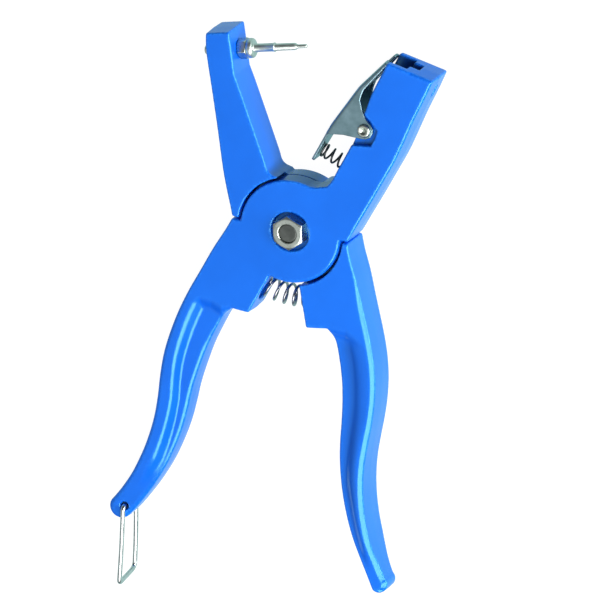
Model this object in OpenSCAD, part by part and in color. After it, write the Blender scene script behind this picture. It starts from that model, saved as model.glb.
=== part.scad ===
// Applicator pliers for livestock ear tags: two cast levers in a half-lap joint
// on one bolt, a screwed-in applicator pin on one jaw, a sprung clip and a tag
// channel on the other jaw, a return spring between the handles and a wire bail.
// The pliers lie on their back: +Z is the pivot axis, +Y runs towards the jaws,
// and the origin is on the pivot axis in the plane of the back faces.

/* [Levers] */
// thickness of both castings
body_t = 18; // [16:0.5:20]
// radius of the round half-lap
lap_r = 22.6; // [21:0.1:22.8]
// gap between the two laps
lap_gap = 0.3; // [0.2:0.1:0.6]
// radius of the recess around each lap
recess_r = 23.6; // [23.3:0.1:24]
// width of the raised spine along each handle
spine_w = 8.4; // [7:0.2:9.4]
// depth of the flute beside the spine, on each face
flute_d = 3; // [2:0.5:4]
// how far the full sides stand outside the hand-set outlines
grow = 0.8; // [0.4:0.1:0.9]

/* [Pivot] */
// bolt diameter
bolt_d = 8; // [7:0.5:8]
// across flats of bolt head and nut
bolt_af = 13; // [12:0.5:13]
// height of the nut
nut_h = 6.5; // [5.5:0.5:7]
// depth of the round recess under the nut
nut_recess = 3.5; // [3:0.5:4]
// radial running clearance of the moving lap on the bolt
run_c = 0.05; // [0.02:0.01:0.1]

/* [Applicator pin] */
// tilt of the pin from +X
pin_tilt = 5; // [4:0.5:6]
// diameter of the thick part of the shank
pin_d1 = 3.6; // [3.2:0.1:4]
// diameter of the thin part of the shank
pin_d2 = 3.1; // [2.6:0.1:3.1]
// diameter of the tip
pin_d3 = 1.7; // [1.2:0.1:2.2]
// diameter of the threaded stud
stud_d = 5; // [4.5:0.5:5]
// across flats of the lock nut
lock_af = 8; // [7.5:0.5:8.5]

/* [Clip] */
// sheet thickness
clip_t = 1.2; // [1:0.1:1.2]
// gap between the two prongs
fork_gap = 6.4; // [5.6:0.2:7]
// rivet shank diameter
rivet_d = 3; // [2.6:0.2:3.2]

/* [Springs] */
// wire of the return spring
rs_wire = 1.2; // [1.1:0.1:1.3]
// mean coil diameter of the return spring
rs_d = 8.6; // [8:0.1:9.6]
// turns of the return spring
rs_turns = 7.5; // [5.5:0.5:7.5]
// wire of the clip spring
cs_wire = 0.9; // [0.7:0.1:1]
// mean coil diameter of the clip spring
cs_d = 5.6; // [5:0.2:6]
// turns of the clip spring
cs_turns = 5; // [4:0.5:6]

/* [Bail] */
// bail wire diameter
bail_wire = 2; // [1.8:0.1:2.2]

/* [View] */
// sub-part shown

/* [Hidden] */
$fn = 64;
mid = body_t/2;
top_of_b = mid - lap_gap/2;
bottom_of_a = mid + lap_gap/2;
head_h = 5;
eps = 0.01;

// ---- curve helpers -------------------------------------------------------
// smooth curve through hand-set points, n steps between each two
function cr1(a, b, c, d, t) =
    0.5*((2*b) + (c - a)*t + (2*a - 5*b + 4*c - d)*t*t
         + (3*b - a - 3*c + d)*t*t*t);
function curve(p, n = 3) = concat(
    [for (i = [0:len(p) - 2], k = [0:n - 1])
        cr1(p[max(i - 1, 0)], p[i], p[i + 1], p[min(i + 2, len(p) - 1)], k/n)],
    [p[len(p) - 1]]);
function rev(p) = [for (i = [len(p) - 1:-1:0]) p[i]];
function unit(v) = v/norm(v);
// a curve moved sideways, to its left when w > 0
function beside(p, w) = [for (i = [0:len(p) - 1])
    let (d = unit(p[min(i + 1, len(p) - 1)] - p[max(i - 1, 0)]))
        p[i] + w*[-d[1], d[0]]];
// hand-set points moved sideways by w, fading to none over a points at the
// start and b points at the end
function grown(p, w, a, b) = let (n = len(p) - 1) [for (i = [0:n])
    let (d = unit(p[min(i + 1, n)] - p[max(i - 1, 0)]),
         f = min(1, a > 0 ? i/a : 1, b > 0 ? (n - i)/b : 1))
        p[i] + w*f*[-d[1], d[0]]];
function part_of(p, a, b) = [for (i = [a:b]) p[i]];
function polar(r, a) = [r*cos(a), r*sin(a)];

// ---- outlines of the castings -------------------------------------------
// outer edge of handle A, shoulder to tip
ha_out = [polar(26.6, 170), [-29, -0.5], [-35, -9.6], [-41, -19], [-47, -28.2],
    [-52.5, -37.8], [-57, -47.5], [-60.5, -57], [-62.8, -66.5], [-64.4, -75.5],
    [-66.5, -84.5], [-69.4, -93], [-73.4, -102], [-78.6, -111], [-84.6, -119],
    [-89.4, -124.4]];
// its inner edge, tip to root
ha_in = [[-84.2, -131.2], [-80.8, -128], [-76, -122.6], [-70.4, -115.6],
    [-64.6, -107], [-59.8, -98], [-56, -89.4], [-53.2, -81], [-50.7, -72.6],
    [-47.2, -63.6], [-43.2, -54.5], [-38.2, -45.4], [-33.6, -39], [-28.6, -35.6]];
// outer edge of handle B, shoulder to tip
hb_out = [polar(26, -8.8), [26.3, -11], [27.8, -19.5], [29.4, -28.5],
    [31.1, -38.5], [32.6, -48], [33.5, -57], [33.5, -66], [32.5, -75],
    [30.8, -83.5], [28.6, -92], [26.6, -100.5], [25.4, -109], [25.1, -118],
    [25.6, -127], [26.9, -135.5], [28.9, -144], [31.6, -152.5]];
// its inner edge, tip to root
hb_in = [[27, -156.5], [24.8, -150], [22.2, -142.5], [19.8, -135], [17.9, -127],
    [16.5, -118], [15.8, -109], [15.8, -100], [16.5, -91.5], [17.7, -82.5],
    [18.6, -73.5], [18.9, -65], [18.4, -56], [16.8, -47.5], [13.9, -42]];
// pads that face each other under the pivot
pad_a = [[-10.2, -19.8], [-21, -37]];
pad_b = [[2.3, -22.6], [4.4, -42]];
// jaw A: inner edge from the neck up, then end and outer edge down
ja_in = [[12.4, 20.1], [17.8, 20.7], [20.6, 23.6], [23.4, 28.1], [27.2, 34],
    [31, 40.6], [37.4, 54.2], [41, 62.4], [48.2, 76.4]];
ja_out = [[68.6, 69.2], [64.4, 61.8], [58.2, 51.2], [53.2, 42], [48.6, 33.4],
    [42.4, 23.6], [36.4, 14.2], [30.8, 5], [25.7, -3.3]];
// jaw B: outer edge from the shoulder up, then end and inner edge down
jb_out = [polar(26.6, 168.6), [-26.3, 10], [-27.2, 18], [-28.3, 27],
    [-29.6, 44], [-31.2, 62], [-32.2, 72], [-33, 79], [-33, 85]];
jb_in = [[-22.2, 86], [-21, 72.3], [-20.7, 67], [-18.6, 58], [-10.6, 31.2],
    [-9.2, 26.6], [-7.2, 24.4], [-4, 23.4]];

ja_i = grown(ja_in, grow, 4, 1);
ja_o = grown(ja_out, grow, 3, 2);
jb_o = grown(jb_out, grow, 2, 2);
jb_i = concat(part_of(jb_in, 0, 1), grown(part_of(jb_in, 2, 7), grow, 1, 3));
ca_out = curve(grown(ha_out, -grow, 2, 0));
cb_out = curve(grown(hb_out, grow, 2, 0));
na = len(ca_out) - 1;
nb = len(cb_out) - 1;

// one handle: full outline between the flutes, spine at full thickness
module handle(outer, inner, tip_c, tip_r, from, to, side) {
    translate([0, 0, flute_d])
        linear_extrude(body_t - 2*flute_d)
            polygon(concat(outer, curve(inner)));
    translate([tip_c[0], tip_c[1], flute_d])
        cylinder(r = tip_r, h = body_t - 2*flute_d);
    linear_extrude(body_t)
        polygon(concat(part_of(outer, from, to),
                       rev(beside(part_of(outer, from, to), side*spine_w))));
}

// ---- tag channel frame: origin where the pin meets the inner face of jaw A
ch_o = [43.2, 65.8];
ch_a = 60.3;
module in_channel() translate([ch_o[0], ch_o[1], mid]) rotate([0, 0, ch_a]) children();
// box in the channel frame: u up the jaw, v into it, w across the thickness
module ch_box(u0, u1, v0, v1, w) in_channel()
    translate([u0, -v1, -w/2]) cube([u1 - u0, v1 - v0, w]);

rivet_c = [35.6, 45.7];
web_lo = 3;
web_hi = body_t - 3;
bail_c = [-84.4, -126.8];
seat_r = 31.2;
seat_a = [-15, -27.4];
seat_b = [3.23, -31];
dir_a = unit([-17.2, 10.8]);
dir_b = unit([19.4, 2.1]);
seat_depth = 5;
pocket_r = 6.5;
cs_from = [13.4, 34.5];
cs_dir = unit([10.2, -6.1]);

module along(p, d, z) translate([p[0], p[1], z])
    rotate([0, 0, atan2(d[1], d[0])]) rotate([0, 90, 0]) children();

module lever_a() color([0.07, 0.33, 0.85]) difference() {
    union() {
        translate([0, 0, bottom_of_a]) cylinder(r = lap_r, h = body_t - bottom_of_a);
        // jaw
        linear_extrude(body_t) polygon(concat([[3, 8], [9.4, 20.5]],
            part_of(ja_i, 0, 0), curve(part_of(ja_i, 1, 8), 3),
            curve(ja_o, 2), [[9, -1.2]]));
        // root of the handle
        linear_extrude(body_t) polygon(concat([[-9, 1.58]], part_of(ca_out, 0, 14),
            [[-43.4, -32.2], [-37.6, -33.4], [-33.4, -36.4], [-28.6, -35.6]],
            [pad_a[1], pad_a[0], [-4, -9]]));
        handle(ca_out, grown(ha_in, -grow, 0, 2), [-86.4, -127.4], 4.35 + grow, 12, na - 6, 1);
    }
    // room for lap B
    translate([0, 0, -1]) cylinder(r = recess_r, h = 1 + bottom_of_a);
    // bolt bore and nut recess
    cylinder(d = bolt_d + 2*run_c, h = 40, center = true);
    translate([0, 0, body_t - nut_recess]) cylinder(r = 8.6, h = 10);
    // pocket for the return spring
    along(seat_a, dir_a, mid) translate([0, 0, -2])
        cylinder(r = pocket_r, h = seat_depth + 2);
    // tag channel: wide part for the tag's boss, narrow part for the pin's tip
    ch_box(0, 30, -4, 7.3, 12);
    ch_box(0, 30, 7, 11.6, 5.6);
    in_channel() rotate([90, 0, 0]) translate([0, 0, -4]) cylinder(r = 6, h = 11.3);
    in_channel() rotate([90, 0, 0]) cylinder(r = 2.8, h = 11.6);
    // blind slot in the outer face of the jaw
    ch_box(5.4, 10.6, 17.5, 30, 2.6);
    // pockets for the clip's ears, front and back
    for (z = [-1, web_hi]) translate([0, 0, z]) linear_extrude(4)
        polygon([[28, 39.4], [38.6, 39.4], [40.6, 42.6], [42, 46.4], [38.5, 51],
                 [36.6, 53], [30, 56]]);
    translate([rivet_c[0], rivet_c[1], -1]) cylinder(d = rivet_d + 0.04, h = 30);
    // seat for the clip spring
    along(cs_from + cs_dir*6, cs_dir, mid) cylinder(r = 3.7, h = 7.6);
    // cross hole for the bail
    translate([bail_c[0], bail_c[1], -1]) cylinder(r = 1.75, h = 30);
}

// pin frame: origin on the inner face of jaw B, x along the pin
pin_o = [-21.35, 76.3];
module on_pin() translate([pin_o[0], pin_o[1], mid]) rotate([0, 0, pin_tilt])
    rotate([0, 90, 0]) children();

module lever_b() color([0.08, 0.36, 0.88]) difference() {
    union() {
        cylinder(r = lap_r, h = top_of_b);
        // jaw
        linear_extrude(body_t) polygon(concat([[-9, 1.82]],
            curve(jb_o, 2), part_of(jb_i, 0, 1), curve(part_of(jb_i, 2, 7), 3),
            [[-1, 12]]));
        // root of the handle
        linear_extrude(body_t) polygon(concat([[9, -1.4]], part_of(cb_out, 0, 14),
            [[26.2, -46.2], [22.4, -43.4], [17, -42.4], [13.9, -42]],
            [pad_b[1], pad_b[0], [1, -10]]));
        handle(cb_out, grown(hb_in, grow, 0, 2), [29.2, -154.2], 3.2 + grow, 12, nb - 6, -1);
    }
    // room for lap A
    translate([0, 0, top_of_b]) cylinder(r = recess_r, h = 20);
    // bolt bore and recess for the bolt head
    cylinder(d = bolt_d + 2*run_c, h = 40, center = true);
    translate([0, 0, -1]) cylinder(r = 8.4, h = 1 + head_h + 0.1);
    // pocket for the return spring
    along(seat_b, dir_b, mid) translate([0, 0, -2])
        cylinder(r = pocket_r, h = seat_depth + 2);
    // tapped hole for the applicator pin
    on_pin() translate([0, 0, -20]) cylinder(d = stud_d + 0.04, h = 30);
}

module pivot_bolt() color([0.35, 0.36, 0.36]) {
    rotate([0, 0, 30]) cylinder(r = bolt_af/2/cos(30), h = head_h, $fn = 6);
    cylinder(d = bolt_d, h = body_t + 1.8);
    translate([0, 0, body_t + 1.8]) cylinder(d1 = bolt_d, d2 = bolt_d - 1.2, h = 0.6);
}

module pivot_nut() color([0.68, 0.7, 0.66])
    translate([0, 0, body_t - nut_recess]) difference() {
        intersection() {
            rotate([0, 0, 30]) cylinder(r = bolt_af/2/cos(30), h = nut_h, $fn = 6);
            union() {
                cylinder(r1 = 6.9, r2 = 7.6, h = 0.5);
                translate([0, 0, 0.5]) cylinder(r = 7.6, h = nut_h - 1.1);
                translate([0, 0, nut_h - 0.6]) cylinder(r1 = 7.6, r2 = 6.5, h = 0.6);
            }
        }
        translate([0, 0, -1]) cylinder(d = bolt_d + 0.1, h = 20);
    }

module applicator_pin() color([0.72, 0.74, 0.7]) on_pin() {
    translate([0, 0, -14.8]) cylinder(d = stud_d, h = 19.2);
    translate([0, 0, -15.4]) cylinder(d1 = stud_d - 1.2, d2 = stud_d, h = 0.6);
    // flange with a rounded front
    rotate_extrude() polygon(concat([[0, 4.3], [4.25, 4.3], [4.25, 5.6]],
        [for (a = [15:15:75]) [3.05 + 1.2*cos(a), 5.6 + 1.2*sin(a)]],
        [[3.05, 6.8], [0, 6.8]]));
    cylinder(d = pin_d1, h = 15.9);
    translate([0, 0, 15.6]) cylinder(d = pin_d1 + 0.4, h = 0.5);
    cylinder(d = pin_d2, h = 25.4);
    translate([0, 0, 25.4]) cylinder(d1 = pin_d2, d2 = pin_d3, h = 0.9);
    cylinder(d = pin_d3, h = 30.2);
    translate([0, 0, 30.2]) cylinder(d1 = pin_d3, d2 = pin_d3*0.6, h = 0.4);
}

module pin_lock_nut() color([0.66, 0.68, 0.66]) on_pin() difference() {
    rotate([0, 0, 8]) cylinder(r = lock_af/2/cos(30), h = 4.2, $fn = 6);
    translate([0, 0, -1]) cylinder(d = stud_d + 0.04, h = 10);
}

// clip: outer line of the bent sheet, tail tip to prong tips
cl = [[9.6, 30.8], [20.5, 47.6], [34, 64.5], [46.9, 76.3]];
cl_lo = 1.45;
cl_hi = body_t - 1.45;
module sheet(a, b) {
    d = b - a;
    translate([a[0], a[1], 0]) rotate([0, 0, atan2(d[1], d[0])])
        rotate([90, 0, 0]) linear_extrude(clip_t) children();
}
module clip() color([0.62, 0.66, 0.64]) difference() {
    union() {
        // tail, narrowed and rounded at its end
        sheet(cl[0], cl[1]) {
            polygon([[0, mid - 3], [1.6, mid - 4.6], [10.6, mid - 5.4],
                     [20.2, cl_lo + 0.4], [20.2, cl_hi - 0.4], [10.6, mid + 5.4],
                     [1.6, mid + 4.6], [0, mid + 3]]);
            for (s = [-3, 3]) translate([1.6, mid + s]) circle(r = 1.6);
        }
        sheet(cl[1], cl[2]) translate([-0.3, cl_lo]) square([22, cl_hi - cl_lo]);
        sheet(cl[2], cl[3]) translate([-0.3, cl_lo]) square([17.6, cl_hi - cl_lo]);
        // ears
        for (z = [cl_lo, cl_hi - clip_t]) translate([0, 0, z]) linear_extrude(clip_t) {
            polygon([[18.4, 43.8], [34.6, 41.9], [39.3, 47], [36.4, 50.9],
                     [35, 55], [33.6, 58.8], [31, 60], [21.2, 47.8]]);
            translate(rivet_c) circle(r = 3.9);
        }
    }
    // fork for the applicator pin
    translate([cl[2][0], cl[2][1], mid]) rotate([0, 0, 46])
        translate([-3, -4, -fork_gap/2]) cube([30, 8, fork_gap]);
    translate([rivet_c[0], rivet_c[1], -1]) cylinder(d = rivet_d + 2*run_c, h = 30);
}

module clip_rivet() color([0.6, 0.63, 0.6])
    translate([rivet_c[0], rivet_c[1], 0]) {
        translate([0, 0, 0.5]) cylinder(d = rivet_d, h = body_t - 1);
        for (s = [0, 1]) translate([0, 0, s*body_t]) mirror([0, 0, s])
            rotate_extrude() polygon(concat([[0, 0.15], [1.9, 0.15]],
                [for (a = [-75:15:0]) [2.0 + 0.9*cos(a), 1.02 + 0.87*sin(a)]],
                [[2.9, 1.38], [0, 1.38]]));
    }

// ---- springs -------------------------------------------------------------
// tube around a path: p are its points, q two normals at each
function ring(c, u, v, r, n) = [for (k = [0:n - 1])
    c + r*(cos(360*k/n)*u + sin(360*k/n)*v)];
module tube(p, up, r, n = 8) {
    m = len(p);
    t = [for (i = [0:m - 1]) unit(p[min(i + 1, m - 1)] - p[max(i - 1, 0)])];
    a = [for (i = [0:m - 1]) unit(up[i] - (up[i]*t[i])*t[i])];
    pts = [for (i = [0:m - 1]) each ring(p[i], a[i], cross(t[i], a[i]), r, n)];
    polyhedron(pts, concat(
        [[for (k = [0:n - 1]) k]],
        [for (i = [0:m - 2], k = [0:n - 1])
            [i*n + k, (i + 1)*n + k, (i + 1)*n + (k + 1) % n, i*n + (k + 1) % n]],
        [[for (k = [n - 1:-1:0]) (m - 1)*n + k]]), convexity = 10);
}
// share of the length reached at share s of the turns: closed end coils
function share(s, n, g) = let (e = 1/n)
    s < e ? g*s/e : s > 1 - e ? 1 - g*(1 - s)/e : g + (1 - 2*g)*(s - e)/(1 - 2*e);

rs_a0 = atan2(seat_a[1], seat_a[0]) - 360*(seat_depth - rs_wire/2 - 0.7)/(2*PI*seat_r);
rs_a1 = atan2(seat_b[1], seat_b[0]) + 360*(seat_depth - rs_wire/2 - 0.7)/(2*PI*seat_r);
rs_n = 22;
rs_bow = 0.7;
rs_path = [for (i = [0:rs_turns*rs_n])
    let (s = i/(rs_turns*rs_n), a = rs_a0 + (rs_a1 - rs_a0)*share(s, rs_turns, 0.07),
         w = -360*i/rs_n, r = seat_r - rs_bow*sin(180*s) - rs_d/2*cos(w))
        [r*cos(a), r*sin(a), mid + rs_d/2*sin(w)]];
rs_up = [for (i = [0:rs_turns*rs_n])
    let (s = i/(rs_turns*rs_n), a = rs_a0 + (rs_a1 - rs_a0)*share(s, rs_turns, 0.07),
         w = -360*i/rs_n)
        [-cos(w)*cos(a), -cos(w)*sin(a), sin(w)]];
module return_spring() color([0.3, 0.31, 0.32]) tube(rs_path, rs_up, rs_wire/2);

cs_len = 13.1;
cs_n = 20;
cs_side = [-cs_dir[1], cs_dir[0], 0];
function cs_c(s) = concat(cs_from + cs_dir*(cs_wire/2 + 0.15
    + (cs_len - cs_wire - 0.2)*share(s, cs_turns, 0.08)), [mid]);
cs_path = [for (i = [0:cs_turns*cs_n]) let (w = 360*i/cs_n)
    cs_c(i/(cs_turns*cs_n)) + cs_d/2*(cos(w)*cs_side + [0, 0, sin(w)])];
cs_up = [for (i = [0:cs_turns*cs_n]) let (w = 360*i/cs_n)
    cos(w)*cs_side + [0, 0, sin(w)]];
module clip_spring() color([0.25, 0.26, 0.27]) tube(cs_path, cs_up, cs_wire/2, 6);

// ---- bail ----------------------------------------------------------------
bail_d = polar(1, -96.6);
function bail_p(l, z) = [bail_c[0] + l*bail_d[0], bail_c[1] + l*bail_d[1], z];
bail_pts = [bail_p(0, 1.65), bail_p(0, 16.35), bail_p(34.4, 16.35), bail_p(31.4, 1.65) + [1, 0, 0]];
bail_bend = 1.6;
bail_n = normal3(bail_p(1, 0) - bail_p(0, 0), [0, 0, 1]);
function normal3(a, b) = unit(cross(a, b));
// corner i of the loop, rounded in five steps
function corner(i) = let (p = bail_pts[i], a = bail_pts[(i + 3) % 4], b = bail_pts[(i + 1) % 4],
        u = unit(a - p), v = unit(b - p))
    [for (k = [0:5]) let (t = k/5)
        p + bail_bend*(u*(1 - t)*(1 - t) + v*t*t)];
bail_path = [for (i = [0:3]) each corner(i)];
module loop_tube(p, n3, r, n = 12) {
    m = len(p);
    pts = [for (i = [0:m - 1])
        let (t = unit(p[(i + 1) % m] - p[(i + m - 1) % m]))
            each ring(p[i], n3, cross(t, n3), r, n)];
    polyhedron(pts, [for (i = [0:m - 1], k = [0:n - 1])
        [i*n + k, ((i + 1) % m)*n + k, ((i + 1) % m)*n + (k + 1) % n, i*n + (k + 1) % n]],
        convexity = 6);
}
module bail() color([0.66, 0.69, 0.67]) loop_tube(bail_path, bail_n, bail_wire/2);

lever_a();
lever_b();
pivot_bolt();
pivot_nut();
return_spring();
applicator_pin();
pin_lock_nut();
clip();
clip_rivet();
clip_spring();
bail();
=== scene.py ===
import math

import bpy
import numpy as np
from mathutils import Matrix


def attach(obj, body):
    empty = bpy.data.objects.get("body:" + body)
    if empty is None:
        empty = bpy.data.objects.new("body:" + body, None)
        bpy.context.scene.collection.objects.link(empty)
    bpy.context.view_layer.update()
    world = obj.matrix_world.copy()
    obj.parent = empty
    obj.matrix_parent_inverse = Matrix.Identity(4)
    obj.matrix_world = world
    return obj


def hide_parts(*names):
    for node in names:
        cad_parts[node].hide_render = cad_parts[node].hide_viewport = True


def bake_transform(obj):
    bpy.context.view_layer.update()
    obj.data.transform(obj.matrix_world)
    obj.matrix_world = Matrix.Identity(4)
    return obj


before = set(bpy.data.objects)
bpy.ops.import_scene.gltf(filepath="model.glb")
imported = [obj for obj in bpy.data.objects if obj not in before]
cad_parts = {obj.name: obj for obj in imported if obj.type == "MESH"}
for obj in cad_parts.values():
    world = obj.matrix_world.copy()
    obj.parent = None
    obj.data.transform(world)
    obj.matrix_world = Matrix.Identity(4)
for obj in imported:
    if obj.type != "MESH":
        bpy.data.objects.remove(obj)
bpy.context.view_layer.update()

import openvdb as vdb
from mathutils import Matrix, Vector

MM = 0.001
scene = bpy.context.scene
F = np.float32

# =========================================================== camera and stage
tilt, roll = math.radians(28.0), math.radians(38.0)
nx, ny = math.cos(roll), math.sin(roll)
k = 1.0 - math.cos(tilt)
right = Vector((1 - k * nx * nx, -k * nx * ny, -math.sin(tilt) * nx))
up = Vector((-k * nx * ny, 1 - k * ny * ny, -math.sin(tilt) * ny))
back = Vector((math.sin(tilt) * nx, math.sin(tilt) * ny, math.cos(tilt)))
target = Vector((0, 0, 0.018)) + 0.004304 * right - 0.02844 * up
lens = 1000.0
dist = 0.25103 / 36.0 * lens
cam = bpy.data.objects.new("camera", bpy.data.cameras.new("camera"))
scene.collection.objects.link(cam)
cam.data.lens = lens
cam.data.sensor_width = 36.0
cam.data.clip_start, cam.data.clip_end = 0.1, 40.0
turn = Matrix((right, up, back)).transposed().to_4x4()
cam.matrix_world = Matrix.Translation(target + back * dist) @ turn
scene.camera = cam


def area(name, direction, reach, size, power, aim=(-0.01, -0.03, 0.0), size_y=None, colour=(1, 1, 1)):
    light = bpy.data.lights.new(name, "AREA")
    light.energy = power
    light.color = colour
    light.shape = "RECTANGLE" if size_y else "SQUARE"
    light.size = size
    if size_y:
        light.size_y = size_y
    ob = bpy.data.objects.new(name, light)
    scene.collection.objects.link(ob)
    d = Vector(direction).normalized()
    ob.location = Vector(aim) + d * reach
    ob.rotation_mode = "QUATERNION"
    ob.rotation_quaternion = d.to_track_quat("Z", "Y")
    return ob


area("key_right", (0.95, 0.06, 0.27), 1.1, 0.8, 18.5)
area("softbox", (0.39, -0.42, 0.81), 1.1, 0.86, 12.4, size_y=0.66)
area("fill_left", (-0.92, 0.10, 0.30), 1.4, 0.8, 0.5)

world = bpy.data.worlds.new("studio")
scene.world = world
world.use_nodes = True
wn, wl = world.node_tree.nodes, world.node_tree.links
bg = wn["Background"]
# the room: brighter towards the viewer's lower left, darker beyond the jaws
away = wn.new("ShaderNodeTexCoord")
dot = wn.new("ShaderNodeVectorMath")
dot.operation = "DOT_PRODUCT"
dot.inputs[1].default_value = (-0.40, -0.32, 0.86)
wl.new(away.outputs["Generated"], dot.inputs[0])
room = wn.new("ShaderNodeValToRGB")
room.color_ramp.elements[0].position, room.color_ramp.elements[0].color = 0.0, (0.07, 0.075, 0.08, 1)
room.color_ramp.elements[1].position, room.color_ramp.elements[1].color = 0.96, (0.66, 0.69, 0.70, 1)
mid_room = room.color_ramp.elements.new(0.70)
mid_room.color = (0.15, 0.16, 0.17, 1)
wl.new(dot.outputs["Value"], room.inputs["Fac"])
wl.new(room.outputs["Color"], bg.inputs["Color"])
bg.inputs["Strength"].default_value = 0.92
scene.view_settings.view_transform = "Standard"
scene.view_settings.look = "None"


# ================================================================ materials
def material(name):
    m = bpy.data.materials.new(name)
    m.use_nodes = True
    return m, m.node_tree.nodes, m.node_tree.links, m.node_tree.nodes["Principled BSDF"]


def noise(nodes, links, scale, detail=4.0, rough=0.6, vector=None, distortion=0.0):
    n = nodes.new("ShaderNodeTexNoise")
    n.inputs["Scale"].default_value = scale
    n.inputs["Detail"].default_value = detail
    n.inputs["Roughness"].default_value = rough
    n.inputs["Distortion"].default_value = distortion
    if vector is not None:
        links.new(vector, n.inputs["Vector"])
    return n


def ramp(nodes, links, src, stops):
    r = nodes.new("ShaderNodeValToRGB")
    e = r.color_ramp.elements
    e[0].position, e[0].color = stops[0][0], stops[0][1]
    e[1].position, e[1].color = stops[-1][0], stops[-1][1]
    for p, c in stops[1:-1]:
        n = e.new(p)
        n.color = c
    links.new(src, r.inputs["Fac"])
    return r


def grey(v):
    return (v, v, v, 1.0)


def bump(nodes, links, height, strength, distance, normal=None):
    b = nodes.new("ShaderNodeBump")
    b.inputs["Strength"].default_value = strength
    b.inputs["Distance"].default_value = distance
    links.new(height, b.inputs["Height"])
    if normal is not None:
        links.new(normal, b.inputs["Normal"])
    return b


def position(nodes):
    return nodes.new("ShaderNodeTexCoord").outputs["Object"]


def mixed(nodes, links, fac, a, b, blend="MIX"):
    m = nodes.new("ShaderNodeMix")
    m.data_type = "RGBA"
    m.blend_type = blend
    if isinstance(fac, float):
        m.inputs[0].default_value = fac
    else:
        links.new(fac, m.inputs[0])
    for s, v in ((6, a), (7, b)):
        if isinstance(v, tuple):
            m.inputs[s].default_value = v
        else:
            links.new(v, m.inputs[s])
    return m.outputs[2]


def paint():
    m, nodes, links, bsdf = material("blue_powder_coat")
    pos = position(nodes)
    cloud = noise(nodes, links, 38.0, 3.0, 0.55, pos)
    base = ramp(nodes, links, cloud.outputs["Fac"],
                [(0.30, (0.0024, 0.108, 0.665, 1)), (0.72, (0.0034, 0.126, 0.745, 1))])
    edge = nodes.new("ShaderNodeAttribute")
    edge.attribute_name = "edge"
    # painted highlight: convex edges (edge value over 0.5) are lightened in patches toward a brighter cyan blue
    convex_lift = ramp(nodes, links, edge.outputs["Fac"],
                [(0.50, grey(0.0)), (0.80, grey(0.55)), (1.0, grey(0.8))])
    speck = noise(nodes, links, 900.0, 5.0, 0.7, pos)
    patchy = ramp(nodes, links, speck.outputs["Fac"], [(0.45, grey(0.0)), (0.62, grey(1.0))])
    edge_highlight = nodes.new("ShaderNodeMath")
    edge_highlight.operation = "MULTIPLY"
    links.new(convex_lift.outputs["Color"], edge_highlight.inputs[0])
    links.new(patchy.outputs["Color"], edge_highlight.inputs[1])
    light = mixed(nodes, links, edge_highlight.outputs[0], base.outputs["Color"], (0.020, 0.240, 0.93, 1))
    # painted shade: hollows (edge value under 0.42) are darkened toward a deep navy blue
    deep = ramp(nodes, links, edge.outputs["Fac"], [(0.0, grey(1.0)), (0.42, grey(0.0))])
    crease_shade = nodes.new("ShaderNodeMath")
    crease_shade.operation = "MULTIPLY"
    crease_shade.inputs[1].default_value = 0.55
    links.new(deep.outputs["Color"], crease_shade.inputs[0])
    colour = mixed(nodes, links, crease_shade.outputs[0], light, (0.004, 0.062, 0.42, 1))
    # painted shade: a per-vertex mask darkens the paint toward a dark navy in the tag channel, the neck over the hub
    # and the handle's hollow
    painted_shade = nodes.new("ShaderNodeAttribute")
    painted_shade.attribute_name = "painted_shade"
    blotch = ramp(nodes, links, cloud.outputs["Fac"], [(0.25, grey(0.75)), (0.75, grey(1.0))])
    shade_amount = nodes.new("ShaderNodeMath")
    shade_amount.operation = "MULTIPLY"
    links.new(painted_shade.outputs["Fac"], shade_amount.inputs[0])
    links.new(blotch.outputs["Color"], shade_amount.inputs[1])
    colour = mixed(nodes, links, shade_amount.outputs[0], colour, (0.006, 0.022, 0.115, 1))
    links.new(colour, bsdf.inputs["Base Color"])
    peel = noise(nodes, links, 620.0, 2.0, 0.5, pos)
    rough = ramp(nodes, links, cloud.outputs["Fac"], [(0.25, grey(0.15)), (0.80, grey(0.22))])
    links.new(rough.outputs["Color"], bsdf.inputs["Roughness"])
    cast = noise(nodes, links, 150.0, 4.0, 0.6, pos)
    b1 = bump(nodes, links, cast.outputs["Fac"], 0.07, 0.0005)
    b2 = bump(nodes, links, peel.outputs["Fac"], 0.08, 0.0001, b1.outputs["Normal"])
    links.new(b2.outputs["Normal"], bsdf.inputs["Normal"])
    bsdf.inputs["Specular IOR Level"].default_value = 0.90
    bsdf.inputs["Specular Tint"].default_value = (0.34, 0.96, 1.0, 1.0)
    return m


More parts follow.
